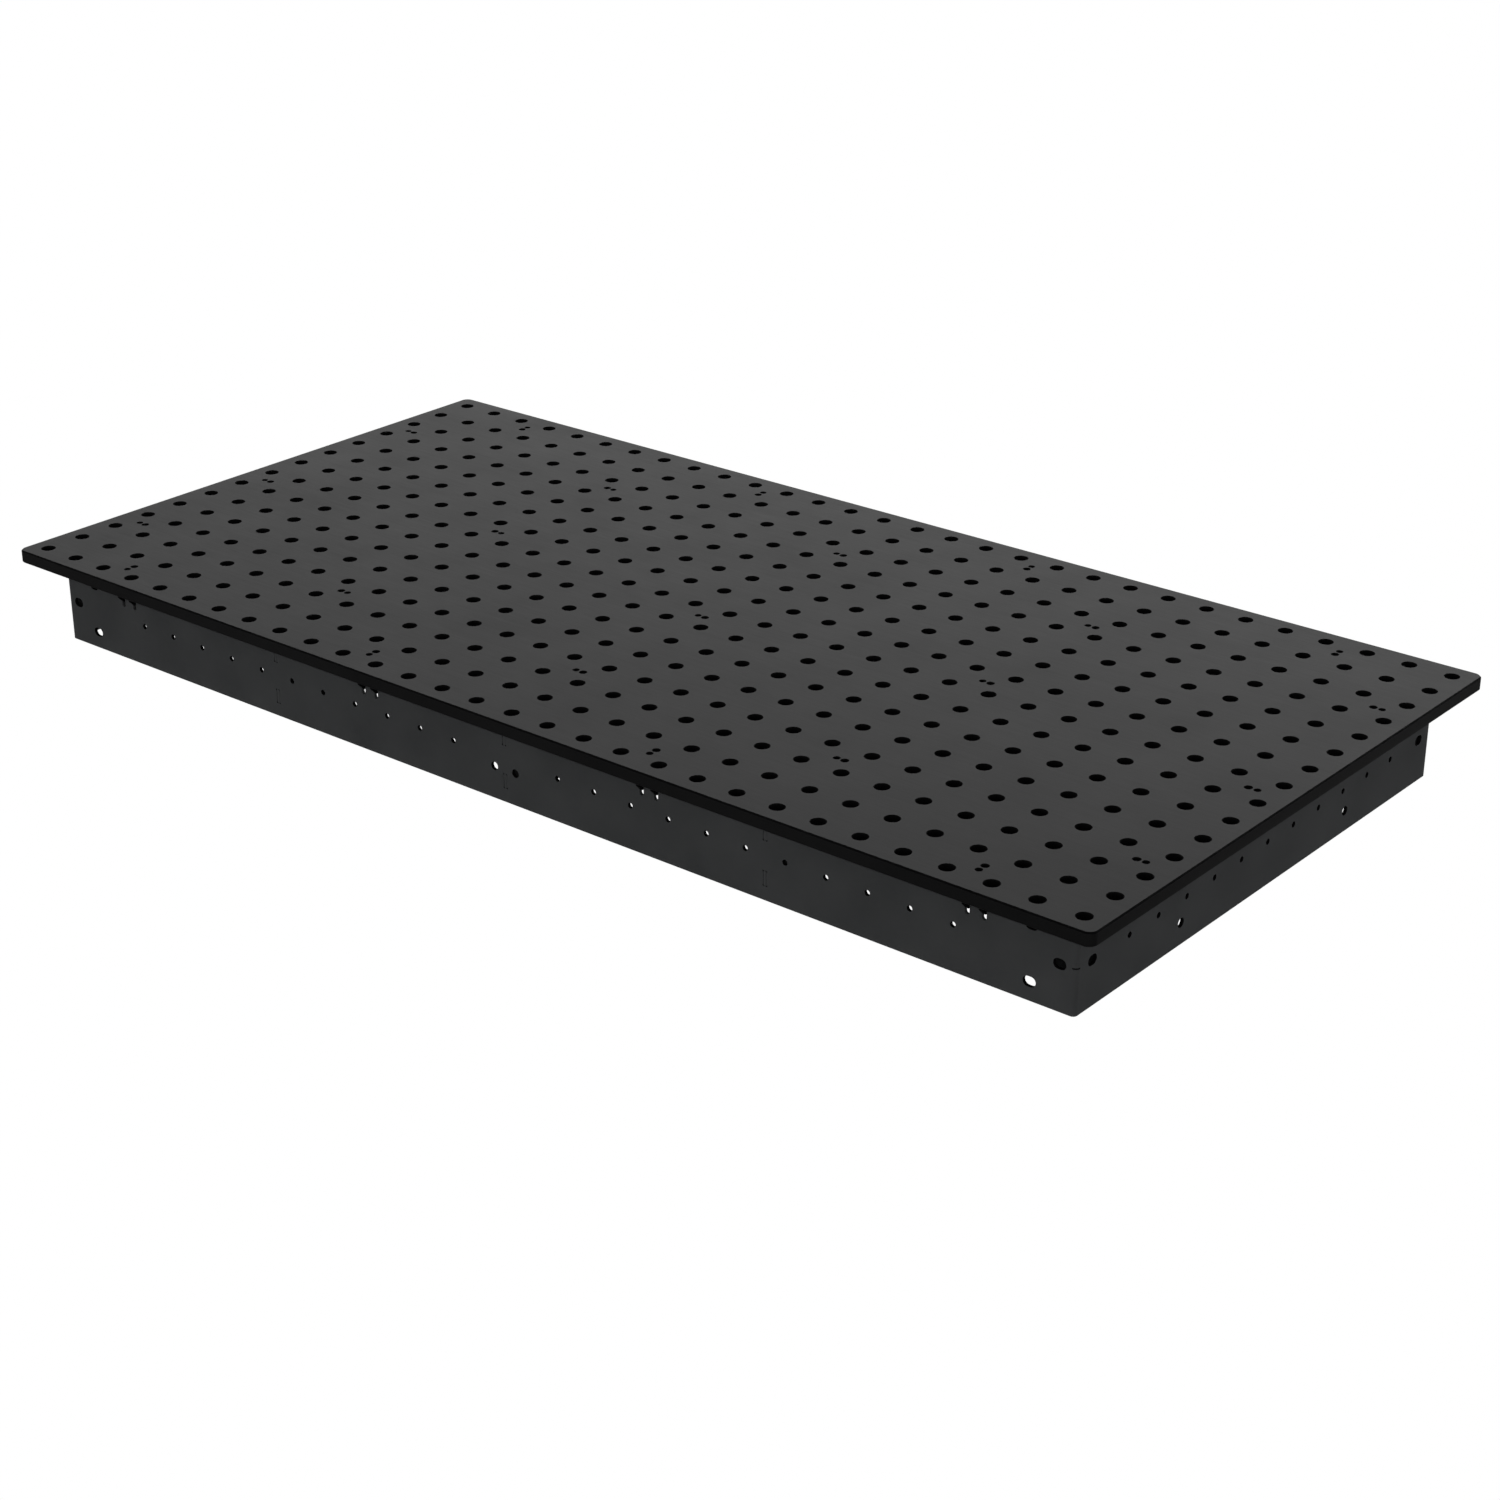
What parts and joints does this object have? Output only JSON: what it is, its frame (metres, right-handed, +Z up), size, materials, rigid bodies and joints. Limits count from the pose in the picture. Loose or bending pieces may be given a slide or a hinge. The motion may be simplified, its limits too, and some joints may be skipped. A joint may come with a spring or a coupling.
{
  "type": "welding table",
  "caption": "Welding table top unit: a thick black steel plate with a square grid of fixture holes, bolted down and levelled on a shallow open frame of bent sheet.",
  "frame": {"origin": "middle of the underside, in the plane of the frame's lower edges", "axes": "+X along the long side towards the right end, +Y towards the back, +Z up"},
  "size_m": [1.5, 0.75, 0.114],
  "materials": {
    "plate_black": "satin black surface treatment on a flat milled plate",
    "frame_black": "satin black powder coat on bent sheet",
    "fastener_black": "black oxide",
    "weld_bead": "weld beads under the same powder coat"
  },
  "bodies": {
    "root": {"top_plate": "plate_black", "front_right_skirt": "frame_black", "back_left_skirt": "frame_black", "left_rib": "frame_black", "middle_rib": "frame_black", "right_rib": "frame_black", "front_left_brace": "frame_black", "front_right_brace": "frame_black", "back_left_brace": "frame_black", "back_right_brace": "frame_black", "front_wall_lugs": "frame_black", "back_wall_lugs": "frame_black", "left_end_lugs": "frame_black", "right_end_lugs": "frame_black", "left_rib_lugs": "frame_black", "middle_rib_lugs": "frame_black", "right_rib_lugs": "frame_black", "hold_down_bolts": "fastener_black", "lock_washers": "fastener_black", "levelling_screws": "fastener_black", "rib_welds": "weld_bead", "corner_seam_welds": "weld_bead", "brace_welds": "weld_bead", "lug_welds": "weld_bead"}
  },
  "joints": []
}
